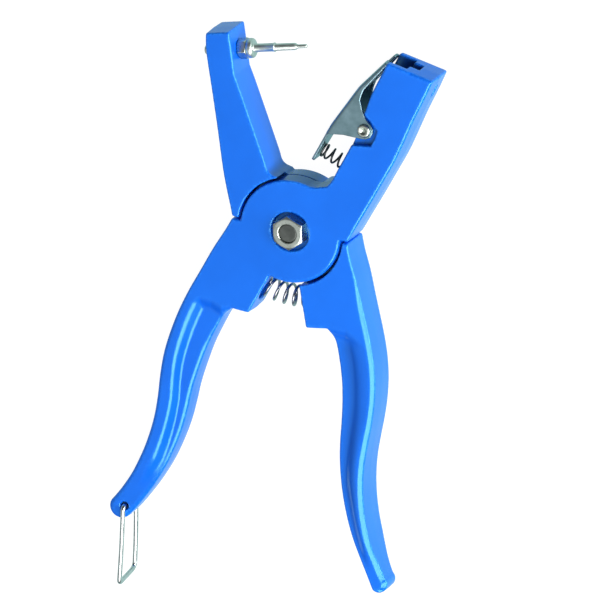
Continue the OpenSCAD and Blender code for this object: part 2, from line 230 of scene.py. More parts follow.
def metal(name, dark, light, rough_lo, rough_hi, scale=260.0, grain=None, bump_size=0.00006, hollow_shade_colour=None):
    """Plated or bare steel: mottled colour, uneven gloss, fine grain. grain is the local axis along which the grain runs."""
    m, nodes, links, bsdf = material(name)
    pos = position(nodes)
    bsdf.inputs["Metallic"].default_value = 1.0
    cloud = noise(nodes, links, scale, 5.0, 0.6, pos)
    base = ramp(nodes, links, cloud.outputs["Fac"], [(0.28, dark), (0.74, light)])
    colour = base.outputs["Color"]
    edge = nodes.new("ShaderNodeAttribute")
    edge.attribute_name = "edge"
    # painted shade: hollows (edge value under 0.44) are darkened toward near black
    hollow = ramp(nodes, links, edge.outputs["Fac"], [(0.0, grey(0.85)), (0.44, grey(0.0))])
    colour = mixed(nodes, links, hollow.outputs["Color"], colour, hollow_shade_colour or (0.06, 0.065, 0.06, 1))
    links.new(colour, bsdf.inputs["Base Color"])
    rough = ramp(nodes, links, cloud.outputs["Fac"], [(0.25, grey(rough_lo)), (0.80, grey(rough_hi))])
    links.new(rough.outputs["Color"], bsdf.inputs["Roughness"])
    vec = pos
    if grain is not None:
        mp = nodes.new("ShaderNodeMapping")
        mp.inputs["Scale"].default_value = grain
        links.new(pos, mp.inputs["Vector"])
        vec = mp.outputs["Vector"]
    fine = noise(nodes, links, 2400.0, 3.0, 0.6, vec)
    b = bump(nodes, links, fine.outputs["Fac"], 0.35, bump_size)
    links.new(b.outputs["Normal"], bsdf.inputs["Normal"])
    return m


BLUE = paint()
NUT = metal("bright_zinc", (0.42, 0.46, 0.42, 1), (0.66, 0.70, 0.64, 1), 0.20, 0.36)
BOLT = metal("oiled_steel", (0.085, 0.095, 0.088, 1), (0.16, 0.17, 0.16, 1), 0.38, 0.55)
PIN = metal("turned_steel", (0.46, 0.52, 0.48, 1), (0.70, 0.76, 0.71, 1), 0.36, 0.48, grain=(8.0, 0.6, 0.6))
CLIP = metal("zinc_sheet", (0.17, 0.28, 0.31, 1), (0.29, 0.43, 0.49, 1), 0.26, 0.42, scale=150.0)
RIVET = metal("rivet_zinc", (0.40, 0.45, 0.40, 1), (0.66, 0.70, 0.62, 1), 0.20, 0.38)
SPRING = metal("plated_spring_wire", (0.26, 0.26, 0.27, 1), (0.50, 0.50, 0.50, 1), 0.20, 0.34)
DARK = metal("dark_spring_wire", (0.035, 0.04, 0.04, 1), (0.10, 0.11, 0.11, 1), 0.30, 0.48)
WIRE = metal("zinc_wire", (0.50, 0.53, 0.52, 1), (0.74, 0.77, 0.76, 1), 0.18, 0.34)


# ===================================================== distance-field helpers
def curve(points, n=3):
    p = [np.array(q, float) for q in points]
    out = []
    for i in range(len(p) - 1):
        a, b, c, d = p[max(i - 1, 0)], p[i], p[i + 1], p[min(i + 2, len(p) - 1)]
        for s in range(n):
            t = s / n
            out.append(0.5 * (2 * b + (c - a) * t + (2 * a - 5 * b + 4 * c - d) * t * t
                              + (3 * b - a - 3 * c + d) * t ** 3))
    out.append(p[-1])
    return [tuple(q) for q in out]


def grown(p, w, a, b):
    """The given points moved sideways by w, fading to none over a points at the start and b at the end."""
    n, out = len(p) - 1, []
    for i in range(n + 1):
        q0, q1 = p[max(i - 1, 0)], p[min(i + 1, n)]
        dx, dy = q1[0] - q0[0], q1[1] - q0[1]
        m = math.hypot(dx, dy)
        f = min(1.0, i / a if a else 1.0, (n - i) / b if b else 1.0) * w / m
        out.append((p[i][0] - dy * f, p[i][1] + dx * f))
    return out


def polar(r, a):
    return (r * math.cos(math.radians(a)), r * math.sin(math.radians(a)))


def arc(c, r, a0, a1, step=4.0):
    n = max(2, int(abs(a1 - a0) / step))
    return [(c[0] + r * math.cos(math.radians(a0 + (a1 - a0) * i / n)),
             c[1] + r * math.sin(math.radians(a0 + (a1 - a0) * i / n))) for i in range(n + 1)]


def smax(a, b, k):
    h = np.maximum(k - np.abs(a - b), 0)
    return np.maximum(a, b) + h * h * (0.25 / k)


def smin(a, b, k):
    return -smax(-a, -b, k)


def blur2(a, times):
    """Softens a plan map; the border repeats its own edge."""
    for _ in range(times):
        for axis in (0, 1):
            pad = [(1, 1) if i == axis else (0, 0) for i in (0, 1)]
            b = np.pad(a, pad, mode="edge")
            n = a.shape[axis]
            a = (0.25 * np.take(b, range(0, n), axis) + 0.5 * a + 0.25 * np.take(b, range(2, n + 2), axis)).astype(F)
    return a


def rounded(a, b, r):
    """Where two distances meet, a round edge of radius r."""
    a = a + r
    b = b + r
    return np.minimum(np.maximum(a, b), 0) + np.sqrt(np.maximum(a, 0) ** 2 + np.maximum(b, 0) ** 2) - r


def step01(u):
    u = np.clip(u, 0, 1)
    return u * u * (3 - 2 * u)


def slope01(u, top, foot):
    """0 to 1 with a rounded top of share top and a rounded foot of share foot."""
    return smin(smax(u, np.zeros_like(u), top), np.ones_like(u), foot)


class Grid:
    def __init__(self, lo, hi, h):
        self.h = h
        self.lo = np.array(lo, float) - 4 * h
        self.n = np.ceil((np.array(hi, float) + 4 * h - self.lo) / h).astype(int) + 1
        ax = [(self.lo[i] + h * np.arange(self.n[i])).astype(F) for i in range(3)]
        self.ax = ax
        self.x, self.y = ax[0][:, None], ax[1][None, :]
        self.X, self.Y, self.Z = ax[0][:, None, None], ax[1][None, :, None], ax[2][None, None, :]
        self.D = None

    def outline(self, points):
        """Signed distance to a closed outline, on the plan grid."""
        P = np.array(points, float)
        best = np.full((self.n[0], self.n[1]), 1e9, F)
        inside = np.zeros(best.shape, bool)
        for a, b in zip(P, np.roll(P, -1, 0)):
            e = b - a
            L = float(e @ e)
            if L < 1e-10:
                continue
            wx, wy = self.x - F(a[0]), self.y - F(a[1])
            t = np.clip((wx * F(e[0]) + wy * F(e[1])) * F(1 / L), 0, 1)
            np.minimum(best, (wx - t * F(e[0])) ** 2 + (wy - t * F(e[1])) ** 2, out=best)
            if a[1] != b[1]:
                c = (F(a[1]) > self.y) != (F(b[1]) > self.y)
                xi = F(e[0] / e[1]) * (self.y - F(a[1])) + F(a[0])
                inside ^= c & (self.x < xi)
        d = np.sqrt(best)
        d[inside] *= -1
        return d

    def line(self, points):
        """Distance to an open line on the plan grid."""
        P = np.array(points, float)
        best = np.full((self.n[0], self.n[1]), 1e9, F)
        for a, b in zip(P[:-1], P[1:]):
            e = b - a
            L = float(e @ e)
            wx, wy = self.x - F(a[0]), self.y - F(a[1])
            t = np.clip((wx * F(e[0]) + wy * F(e[1])) * F(1 / L), 0, 1)
            np.minimum(best, (wx - t * F(e[0])) ** 2 + (wy - t * F(e[1])) ** 2, out=best)
        return np.sqrt(best)

    def window(self, lo, hi, pad=3.0):
        s = []
        for i in range(3):
            a = int(max(0, math.floor((lo[i] - pad - self.lo[i]) / self.h)))
            b = int(min(self.n[i], math.ceil((hi[i] + pad - self.lo[i]) / self.h) + 1))
            s.append(slice(a, max(b, a + 1)))
        return s

    def change(self, lo, hi, fn, k=0.6, how="cut"):
        """Cut away or add a shape inside a window."""
        sx, sy, sz = self.window(lo, hi)
        X, Y, Z = self.X[sx], self.Y[:, sy], self.Z[:, :, sz]
        v = fn(X, Y, Z)
        old = self.D[sx, sy, sz]
        self.D[sx, sy, sz] = smax(old, -v, k) if how == "cut" else smin(old, v, k)

    def mesh(self, name, scale=MM, edge_radius=3, painted_shade=None):
        """The zero surface as a Blender mesh in metres, with an 'edge' value: 0.5 flat, above it convex, below it hollow."""
        D = self.D.astype(F)
        bgv = 3.0 * self.h
        g = vdb.FloatGrid(bgv)
        g.copyFromArray(np.clip(D, -bgv, bgv))
        g.transform = vdb.createLinearTransform(voxelSize=self.h)
        p, _tri, q = g.convertToPolygons(isovalue=0.0, adaptivity=0.0)
        # trilinear sampling of grid values at the surface points
        idx = p / self.h
        i0 = np.clip(np.floor(idx).astype(int), 1, self.n - 3)
        fr = (idx - i0).astype(F)

        def sample(A):
            out = 0
            for dx in (0, 1):
                for dy in (0, 1):
                    for dz in (0, 1):
                        w = ((fr[:, 0] if dx else 1 - fr[:, 0]) * (fr[:, 1] if dy else 1 - fr[:, 1])
                             * (fr[:, 2] if dz else 1 - fr[:, 2]))
                        out = out + w * A[i0[:, 0] + dx, i0[:, 1] + dy, i0[:, 2] + dz]
            return out

        # curvature: mean over a small box against the value itself
        C = np.clip(D, -2.2, 2.2)
        m = edge_radius
        for axis in range(3):
            c = np.cumsum(C, axis=axis, dtype=np.float64)
            w = 2 * m + 1
            hi_i = np.minimum(np.arange(self.n[axis]) + m, self.n[axis] - 1)
            lo_i = np.arange(self.n[axis]) - m - 1
            top = np.take(c, hi_i, axis=axis)
            bot = np.take(c, np.maximum(lo_i, 0), axis=axis)
            shape = [1, 1, 1]
            shape[axis] = -1
            bot = bot * (lo_i >= 0).reshape(shape)
            cnt = (hi_i - np.maximum(lo_i, -1)).reshape(shape)
            C = ((top - bot) / cnt).astype(F)
        e = sample(C) / (self.h * m)
        edge = np.clip(0.5 + 1.6 * e, 0, 1)
        P = p + self.lo
        ob = build(name, P * scale, q, smooth=True, edge=edge)
        # stores the painted shade mask as a per-vertex attribute
        if painted_shade is not None:
            at = ob.data.attributes.new("painted_shade", "FLOAT", "POINT")
            at.data.foreach_set("value", np.clip(painted_shade(P[:, 0], P[:, 1], P[:, 2]), 0, 1).astype(F))
        return ob


def build(name, pts, faces, smooth=True, edge=None, sharp=None):
    pts = np.asarray(pts, F)
    me = bpy.data.meshes.new(name)
    if isinstance(faces, np.ndarray):
        nf, k = faces.shape
        me.vertices.add(len(pts))
        me.vertices.foreach_set("co", pts.ravel())
        me.loops.add(nf * k)
        me.loops.foreach_set("vertex_index", faces.astype(np.int32).ravel())
        me.polygons.add(nf)
        me.polygons.foreach_set("loop_start", np.arange(0, nf * k, k, dtype=np.int32))
        me.polygons.foreach_set("loop_total", np.full(nf, k, np.int32))
        me.update(calc_edges=True)
    else:
        me.from_pydata([tuple(map(float, p)) for p in pts], [], faces)
    me.validate()
    me.polygons.foreach_set("use_smooth", np.full(len(me.polygons), smooth, bool))
    if sharp is not None:
        me.set_sharp_from_angle(angle=math.radians(sharp))
    at = me.attributes.new("edge", "FLOAT", "POINT")
    at.data.foreach_set("value", (np.full(len(me.vertices), 0.5) if edge is None else np.asarray(edge)).astype(F))
    me.update()
    ob = bpy.data.objects.new(name, me)
    scene.collection.objects.link(ob)
    return ob


def done(ob, mat, body, slot, *nodes):
    ob.data.materials.clear()
    ob.data.materials.append(mat)
    if body is not None:
        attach(ob, body)
    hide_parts(*nodes)
    return ob


def cyl_z(cx, cy, r, z0, z1):
    return lambda X, Y, Z: np.maximum(np.sqrt((X - cx) ** 2 + (Y - cy) ** 2) - r,
                                      np.abs(Z - (z0 + z1) / 2) - (z1 - z0) / 2)


def cyl_flat(c, d, z, r, s0, s1):
    """Round bar lying in the plan, along d from c."""
    def fn(X, Y, Z):
        u = (X - c[0]) * d[0] + (Y - c[1]) * d[1]
        v = (Y - c[1]) * d[0] - (X - c[0]) * d[1]
        return np.maximum(np.sqrt(v * v + (Z - z) ** 2) - r, np.abs(u - (s0 + s1) / 2) - (s1 - s0) / 2)
    return fn


def box_flat(c, d, u0, u1, v0, v1, z0, z1, r=0.0):
    """Box along d in the plan: u along d, v to its left."""
    def fn(X, Y, Z):
        u = (X - c[0]) * d[0] + (Y - c[1]) * d[1]
        v = (Y - c[1]) * d[0] - (X - c[0]) * d[1]
        a = np.abs(u - (u0 + u1) / 2) - (u1 - u0) / 2 + r
        b = np.abs(v - (v0 + v1) / 2) - (v1 - v0) / 2 + r
        w = np.abs(Z - (z0 + z1) / 2) - (z1 - z0) / 2 + r
        return (np.sqrt(np.maximum(a, 0) ** 2 + np.maximum(b, 0) ** 2 + np.maximum(w, 0) ** 2)
                + np.minimum(np.maximum(np.maximum(a, b), w), 0) - r)
    return fn


def unit2(v):
    n = math.hypot(*v)
    return (v[0] / n, v[1] / n)


# ======================================================== castings: outlines
T, MID = 18.0, 9.0
LAP, REC = 22.6, 23.6
ha_out = [polar(26.6, 170), (-29, -0.5), (-35, -9.6), (-41, -19), (-47, -28.2), (-52.5, -37.8), (-57, -47.5),
          (-60.5, -57), (-62.8, -66.5), (-64.4, -75.5), (-66.5, -84.5), (-69.4, -93), (-73.4, -102),
          (-78.6, -111), (-84.6, -119), (-89.4, -124.4)]
ha_in = [(-84.2, -131.2), (-80.8, -128), (-76, -122.6), (-70.4, -115.6), (-64.6, -107), (-59.8, -98),
         (-56, -89.4), (-53.2, -81), (-50.7, -72.6), (-47.2, -63.6), (-43.2, -54.5), (-38.2, -45.4),
         (-33.6, -39), (-28.6, -35.6)]
hb_out = [polar(26, -8.8), (26.3, -11), (27.8, -19.5), (29.4, -28.5), (31.1, -38.5), (32.6, -48), (33.5, -57),
          (33.5, -66), (32.5, -75), (30.8, -83.5), (28.6, -92), (26.6, -100.5), (25.4, -109), (25.1, -118),
          (25.6, -127), (26.9, -135.5), (28.9, -144), (31.6, -152.5)]
hb_in = [(27, -156.5), (24.8, -150), (22.2, -142.5), (19.8, -135), (17.9, -127), (16.5, -118), (15.8, -109),
         (15.8, -100), (16.5, -91.5), (17.7, -82.5), (18.6, -73.5), (18.9, -65), (18.4, -56), (16.8, -47.5),
         (13.9, -42)]
pad_a = [(-10.2, -19.8), (-21, -37)]
pad_b = [(2.3, -22.6), (4.4, -42)]
ja_in = [(12.4, 20.1), (17.8, 20.7), (20.6, 23.6), (23.4, 28.1), (27.2, 34), (31, 40.6), (37.4, 54.2),
         (41, 62.4), (48.2, 76.4)]
ja_out = [(68.6, 69.2), (64.4, 61.8), (58.2, 51.2), (53.2, 42), (48.6, 33.4), (42.4, 23.6), (36.4, 14.2),
          (30.8, 5), (25.7, -3.3)]
jb_out = [polar(26.6, 168.6), (-26.3, 10), (-27.2, 18), (-28.3, 27), (-29.6, 44), (-31.2, 62), (-32.2, 72),
          (-33, 79), (-33, 85)]
jb_in = [(-22.2, 86), (-21, 72.3), (-20.7, 67), (-18.6, 58), (-10.6, 31.2), (-9.2, 26.6), (-7.2, 24.4),
         (-4, 23.4)]
ch_o, ch_a = (43.2, 65.8), 60.3
ch_d = polar(1, ch_a)
rivet_c = (35.6, 45.7)
bail_c = (-84.4, -126.8)
seat_a, seat_b = (-15, -27.4), (3.23, -31)
dir_a, dir_b = unit2((-17.2, 10.8)), unit2((19.4, 2.1))
cs_from, cs_dir = (13.4, 34.5), unit2((10.2, -6.1))
pin_o, pin_t = (-21.35, 76.3), 5.0
pin_d = polar(1, pin_t)

GROW = 0.8
ha_o, ha_i = grown(ha_out, -GROW, 2, 0), grown(ha_in, -GROW, 0, 2)
hb_o, hb_i = grown(hb_out, GROW, 2, 0), grown(hb_in, GROW, 0, 2)
ja_i, ja_o = grown(ja_in, GROW, 4, 1), grown(ja_out, GROW, 3, 2)
jb_o, jb_i = grown(jb_out, GROW, 2, 2), jb_in[:2] + grown(jb_in[2:], GROW, 1, 3)

H_CAST = 0.35


def casting(outline, lo, hi, radius, height, bevel, draft, lean_deg=25):
    """Extruded outline with a bevel and round edges, a top surface of its own height, and mould draft."""
    g = Grid(lo, hi, H_CAST)
    d2 = blur2(g.outline(outline), 2)  # softens the outline's corners by a voxel
    r2 = radius(g, d2)
    H = height(g, d2)
    gx, gy = np.gradient(H, g.h)
    lean = (1.0 / np.sqrt(1 + gx * gx + gy * gy)).astype(F)
    az = np.abs(g.Z - F(MID))
    q1 = d2[:, :, None] + F(0.022) * az + draft(g)[:, :, None] * (az - F(5.0))
    q2 = (az - (H[:, :, None] - F(MID))) * lean[:, :, None]
    g.D = rounded(q1, q2, r2[:, :, None])
    facet = (d2 + bevel(g, d2))[:, :, None] * F(math.sin(math.radians(lean_deg))) + (az - (H[:, :, None] - F(MID))) * F(math.cos(math.radians(lean_deg)))
    g.D = smax(g.D, facet, 0.25)
    return g


def table(g, ys, vs):
    return np.interp(g.y.ravel(), ys[::-1], vs[::-1]).astype(F)[None, :]


# ---------------------------------------------------------------- lever A
def radius_a(g, d2):
    f = step01((-g.y - 15) / 30) * step01((-g.x - 32) / 12)
    jaw = step01((g.y - 0) / 8) * step01((g.x - 20) / 6)
    rim = step01((-g.y + 2) / 8) * step01((g.x + 2) / 6) * step01((25 - np.hypot(g.x, g.y)) / 1.5)
    return (0.75 + 0.65 * f + 0.25 * jaw + 0.6 * rim).astype(F)


def bevel_a(g, d2):
    f = step01((-g.y - 15) / 30) * step01((-g.x - 32) / 12)
    jaw = step01((g.y + 4) / 10) * step01(((g.x - 26) * 0.86 - (g.y + 3) * 0.51 + 9) / 4)
    return (1.6 * f + 1.15 * jaw).astype(F)


def draft_a(g):
    return (0.02 * step01((-g.y - 15) / 30) + 0.03 * step01((g.y + 4) / 10) * step01((g.x - 20) / 8)).astype(F)


def height_a(g, d2):
    s = g.line(curve(ha_out, 6))
    w1 = table(g, [-30, -40.6, -59.6, -77.4, -95.4, -111.8], [4.3, 4.5, 5.2, 6.0, 5.4, 5.1])
    run = table(g, [-34, -40, -50, -58, -66, -75, -88, -97, -112], [4.5, 4.4, 4.1, 3.7, 3.3, 3.1, 3.3, 3.9, 4.3])
    spine = slope01((s - w1 + 0.35) / run, 0.30, 0.10)
    root = g.outline([(-60, 10), (-56, -28), (-50.6, -34.6), (-43.4, -32.0), (-37.6, -33.2), (-33.4, -35.8),
                      (-28.6, -35.2), (-15, -45), (80, -45), (80, 90), (-60, 90)])
    rr = slope01((root + 0.4) / 4.2, 0.4, 0.4)
    f = smin(spine, rr, 0.3)
    tip = step01((-g.y - 103) / 20)
    return (15 + 3 * (1 - np.clip(f, 0, 1)) * (1 - tip)).astype(F)


outline_a = ([(9.4, 20.5)] + [ja_i[0]] + curve(ja_i[1:], 4) + curve(ja_o, 3)
             + arc((0, 0), LAP, -7.4, -117.4) + [pad_a[1]] + curve(ha_i, 5)[::-1]
             + arc((-86.4, -127.4), 4.35 + GROW, -62, -222, 12) + curve(ha_o, 5)[::-1]
             + arc((0, 0), LAP, 170, 66.5))
A = casting(outline_a, (-93, -134, 0), (70.5, 78, 18), radius_a, height_a, bevel_a, draft_a)
A.change((-24, -24, -1), (24, 24, 9.15), cyl_z(0, 0, REC, -5, 9.15), 0.5)
A.change((-5, -5, -1), (5, 5, 19), cyl_z(0, 0, 4.05, -5, 25), 0.5)
A.change((-9, -9, 14), (9, 9, 19), cyl_z(0, 0, 8.6, 14.5, 25), 0.6)
A.change((-30, -40, 0), (-5, -15, 18), cyl_flat(seat_a, dir_a, MID, 6.5, -2, 5), 0.6)
A.change((30, 50, 0), (75, 85, 18), box_flat(ch_o, ch_d, 0, 30, -7.3, 4, 3, 15, 0.4), 0.5)
A.change((30, 50, 0), (75, 85, 18), box_flat(ch_o, ch_d, 0, 30, -11.6, -6, 6.2, 11.8, 0.4), 0.5)
A.change((30, 50, 0), (75, 85, 18), cyl_flat(ch_o, (-ch_d[1], ch_d[0]), MID, 6.0, -7.3, 4), 0.5)
A.change((30, 50, 0), (75, 85, 18), cyl_flat(ch_o, (-ch_d[1], ch_d[0]), MID, 2.8, -11.6, 1), 0.5)
A.change((45, 50, 0), (75, 85, 18), box_flat(ch_o, ch_d, 5.4, 10.6, -30, -17.5, 7.7, 10.3, 0.3), 0.5)
# small notch and chamfer on the end's front edge
end_d = unit2((68.6 - 49, 69.2 - 76))
A.change((50, 66, 14), (75, 80, 19),
         lambda X, Y, Z: np.maximum(
             box_flat((49, 76), end_d, 11.0, 24, -3, 3, 10, 24)(X, Y, Z),
             -(0.78 * (-(X - 49) * end_d[1] + (Y - 76) * end_d[0]) + 0.62 * (Z - 18) + 0.75)), 0.3)
A.change((50, 66, 14), (75, 80, 19), box_flat((49, 76), end_d, 9.5, 11.0, -1.0, 2, 17.5, 22, 0.3), 0.4)
ear = [(28, 39.4), (38.6, 39.4), (40.6, 42.6), (42, 46.4), (38.5, 51), (36.6, 53), (30, 56)]
ear2 = A.outline(ear)
for z0, z1 in ((-4, 3), (15, 22)):
    sx, sy, sz = A.window((26, 37, max(z0, 0)), (44, 58, min(z1, 18)))
    v = np.maximum(ear2[sx, sy][:, :, None], np.abs(A.Z[:, :, sz] - (z0 + z1) / 2) - (z1 - z0) / 2)
    A.D[sx, sy, sz] = smax(A.D[sx, sy, sz], -v, 0.6)
A.change((33, 43, 0), (38, 48, 18), cyl_z(rivet_c[0], rivet_c[1], 1.52, -5, 25), 0.3)
A.change((15, 20, 4), (35, 40, 14),
         cyl_flat((cs_from[0] + 9 * cs_dir[0], cs_from[1] + 9 * cs_dir[1]), cs_dir, MID, 3.7, -3, 4.6), 0.5)
A.change((-88, -131, 0), (-80, -123, 18), cyl_z(bail_c[0], bail_c[1], 1.75, -5, 25), 0.9)


def painted_shade_a(x, y, z):
    """Painted shade: where the paint is darkened, in the tag channel and in the neck over the hub."""
    u = (x - ch_o[0]) * ch_d[0] + (y - ch_o[1]) * ch_d[1]
    v = (x - ch_o[0]) * ch_d[1] - (y - ch_o[1]) * ch_d[0]
    channel = step01((u + 6) / 2) * step01((v + 2.2) / 1.5) * step01((12.4 - v) / 0.8) * step01((6.6 - np.abs(z - MID)) / 0.5)
    neck = step01((y - 18.5) / 2.5) * step01((x + 14) / 6) * step01((20 - x) / 4) * step01((30 - y) / 6)
    inside = -((x - 49) * 0.328 + (y - 76) * 0.945)  # depth below the jaw's end face
    return np.maximum(0.85 * channel * step01((inside - 0.5) / 0.8), 0.76 * neck * step01((17.6 - z) / 1.2))


lever_a = done(A.mesh("lever_a_casting", painted_shade=painted_shade_a), BLUE, "lever_a", "blue_paint", "lever_a")
del A


# ---------------------------------------------------------------- lever B
def radius_b(g, d2):
    f = step01((-g.y - 6) / 38) * np.maximum(step01((g.x - 20) / 6), step01((-g.y - 43) / 10))
    f = f * step01((g.x - 8) / 5)
    return (0.75 + 0.05 * f).astype(F)


def bevel_b(g, d2):
    f = step01((-g.y - 6) / 30) * np.maximum(step01((g.x - 20) / 6), step01((-g.y - 43) / 10))
    f = f * step01((g.x - 8) / 5)
    s = g.line(hb_o)
    return (2.15 * f * step01((7.5 - s) / 3)).astype(F)


def draft_b(g):
    return (0 * g.y + 0 * g.x).astype(F)


def height_b(g, d2):
    s = g.line(curve(hb_out, 6))
    w1 = table(g, [-45, -57, -65.6, -74.5, -83.4, -92.4, -101.4, -110, -119, -128, -136.5],
               [5.2, 5.1, 5.1, 4.7, 4.7, 4.8, 5.1, 4.8, 4.1, 3.5, 3.1])
    run = table(g, [-49, -56, -65, -73.5, -82.4, -91, -100, -109, -118, -130],
                [6.6, 6.4, 6.2, 6.1, 5.4, 4.6, 3.6, 3.4, 2.9, 2.9])
    spine = slope01((s - w1 + 0.5) / run, 0.6, 0.36)
    root = g.outline([(60, 10), (60, -50), (33, -50), (28, -47.4), (26.2, -46.0), (22.4, -43.2), (17, -42.2),
                      (13.9, -41.6), (0, -46), (-60, -46), (-60, 100), (60, 100)])
    rr = slope01((root + 0.4) / 4.6, 0.4, 0.4)
    f = smin(spine, rr, 0.3)
    tip = step01((-g.y - 132) / 20)
    return (15 + 3 * (1 - np.clip(f, 0, 1)) * (1 - tip)).astype(F)


outline_b = ([polar(26.6, 168.6)] + curve(jb_o, 4)[1:] + jb_i[:2] + curve(jb_i[2:], 4)
             + arc((0, 0), LAP, 98.5, -8.8) + curve(hb_o, 5)
             + arc((29.2, -154.2), 3.2 + GROW, 36, -132, 12) + curve(hb_i, 5) + [pad_b[1], pad_b[0]]
             + arc((0, 0), LAP, -85.5, -191.4))
B = casting(outline_b, (-35, -160, 0), (36, 88, 18), radius_b, height_b, bevel_b, draft_b, 28)
B.change((-24, -24, 8.85), (24, 24, 19), cyl_z(0, 0, REC, 8.85, 25), 0.25)
B.change((-5, -5, -1), (5, 5, 19), cyl_z(0, 0, 4.05, -5, 25), 0.5)
B.change((-9, -9, -1), (9, 9, 5.1), cyl_z(0, 0, 8.4, -5, 5.1), 0.5)
B.change((0, -40, 0), (15, -22, 18), cyl_flat(seat_b, dir_b, MID, 6.5, -2, 5), 0.6)
B.change((-40, 70, 4), (-10, 84, 14), cyl_flat(pin_o, pin_d, MID, 2.52, -20, 10), 0.4)


def painted_shade_b(x, y, z):
    """Painted shade: where the paint is darkened, in the neck over the hub and in the hollow of the handle."""
    neck = 0.76 * step01((y - 18.5) / 2.5) * step01((x + 13) / 6) * step01((28 - y) / 5) * step01((17.6 - z) / 1.2)
    u = x - np.interp(y, [p[1] for p in hb_in], [p[0] for p in hb_in])
    hollow = np.interp(u, [-1, 1, 4.5, 6.5, 9.0], [0.10, 0.14, 0.30, 0.30, 0.0])
    return np.maximum(neck, hollow * step01((-45 - y) / 7) * step01((y + 132) / 22) * step01((z - 11) / 2))


lever_b = done(B.mesh("lever_b_casting", painted_shade=painted_shade_b), BLUE, "lever_b", "blue_paint", "lever_b")
del B


# ============================================================ hexagon pieces
def hexagon(X, Y, af, turn=0.0):
    d = None
    for a in (0, 60, 120):
        c, s = math.cos(math.radians(a + turn)), math.sin(math.radians(a + turn))
        v = np.abs(X * c + Y * s) - af / 2
        d = v if d is None else smax(d, v, 0.25)
    return d


def nut(name, af, z0, z1, bore, turn, h, sink=0.5, top=0.0):
    R = af / 2 / math.cos(math.radians(30)) + 0.5
    g = Grid((-R, -R, z0), (R, R, z1), h)
    r = np.sqrt(g.X ** 2 + g.Y ** 2)
    d = smax(hexagon(g.X, g.Y, af, turn), np.abs(g.Z - (z0 + z1) / 2) - (z1 - z0) / 2, 0.25)
    for s, z in ((1, z1), (-1, z0)):  # 30 degree chamfer on both faces
        cone = (r - (af / 2 - 0.35)) * 0.5 + (g.Z - z) * s * 0.866
        d = smax(d, cone, 0.2)
    hole = r - bore
    d = smax(d, -hole, 0.15)
    for s, z in ((1, z1), (-1, z0)):
        d = smax(d, -((r - bore - sink) * 0.7071 - (g.Z - z) * s * 0.7071), 0.15)
    g.D = d
    return g


# pivot nut, its axis on the pivot
g = nut("nut", 13.0, 14.5, 21.0, 4.02, 0.0, 0.12, sink=0.30)
done(g.mesh("pivot_nut_hex", edge_radius=4), NUT, "lever_a", "nut_zinc", "pivot_nut")

# bolt: hexagon head flush with the back, shank, chamfered end
g = Grid((-8, -8, 0), (8, 8, 20.4), 0.14)
r = np.sqrt(g.X ** 2 + g.Y ** 2)
head = smax(hexagon(g.X, g.Y, 13.0), np.abs(g.Z - 2.5) - 2.5, 0.3)
head = smax(head, (r - 6.2) * 0.5 - g.Z * 0.866, 0.25)
shank = rounded(r - 4.0, np.abs(g.Z - 10.2) - 10.2, 0.2)
shank = smax(shank, (r - 3.75) * 0.7071 + (g.Z - 20.4) * 0.7071, 0.2)
pit = ((g.Z - 20.4) + 0.35 - 0.03 * r * r)
g.D = smax(smin(head, shank, 0.3), np.minimum(pit, g.Z * 0 + 5) - 0.33, 0.3)
done(g.mesh("pivot_bolt_body", edge_radius=4), BOLT, "lever_a", "bolt_steel", "pivot_bolt")


# ================================================================ lathe work
def fillet(points, r):
    """Rounds a profile's corners in three steps."""
    out = [points[0]]
    for a, b, c in zip(points, points[1:], points[2:]):
        a, b, c = map(np.array, (a, b, c))
        la, lc = np.linalg.norm(a - b), np.linalg.norm(c - b)
        m = min(r, la * 0.45, lc * 0.45)
        p, q = b + (a - b) / la * m, b + (c - b) / lc * m
        out += [tuple((1 - t) ** 2 * p + 2 * t * (1 - t) * b + t * t * q) for t in (0, 0.33, 0.67, 1)]
    out.append(points[-1])
    return out


def lathe(name, profile, n=64, place=None):
    """Profile of (radius, height) turned about Z; both ends on the axis."""
    pts, faces = [], []
    first, last = profile[0], profile[-1]
    pts.append((0, 0, first[1]))
    for rr, z in profile[1:-1]:
        for i in range(n):
            a = 2 * math.pi * i / n
            pts.append((rr * math.cos(a), rr * math.sin(a), z))
    pts.append((0, 0, last[1]))
    m = len(profile) - 2
    for i in range(n):
        j = (i + 1) % n
        faces.append((0, 1 + j, 1 + i))
        for k in range(m - 1):
            a = 1 + k * n
            faces.append((a + i, a + j, a + n + j, a + n + i))
        faces.append((1 + (m - 1) * n + i, 1 + (m - 1) * n + j, len(pts) - 1))
    P = np.array(pts, float)
    if place is not None:
        R, t = place
        P = P @ np.array(R, float).T + np.array(t, float)
    return build(name, P * MM, faces, smooth=True, sharp=50)


c5, s5 = pin_d
PIN_R = [[0.0, -s5, c5], [0.0, c5, s5], [-1.0, 0.0, 0.0]]     # columns: where local X, Y and Z go
PIN_T = (pin_o[0], pin_o[1], MID)
thread = []
z = -14.6
while z < -4.4:
    thread += [(2.06, z), (2.46, z + 0.32), (2.46, z + 0.42)]
    z += 0.8
body = ([(0, -15.4), (1.75, -15.4), (2.06, -15.0)] + thread
        + [(2.2, -3.9), (2.45, -3.7), (2.45, 4.2), (4.1, 4.25), (4.25, 4.45), (4.25, 5.5)]
        + [(3.05 + 1.2 * math.cos(math.radians(a)), 5.6 + 1.2 * math.sin(math.radians(a))) for a in (15, 30, 45, 60, 75)]
        + [(3.0, 6.82), (2.3, 6.86), (1.95, 7.0), (1.8, 7.35), (1.8, 15.4), (2.0, 15.6), (2.0, 16.1), (1.72, 16.25),
           (1.55, 16.5), (1.55, 25.3), (1.45, 25.5), (0.88, 26.3), (0.85, 26.5), (0.85, 30.1), (0.7, 30.45),
           (0.4, 30.6), (0, 30.6)])
pin = lathe("applicator_pin_turned", body, 48, (PIN_R, PIN_T))
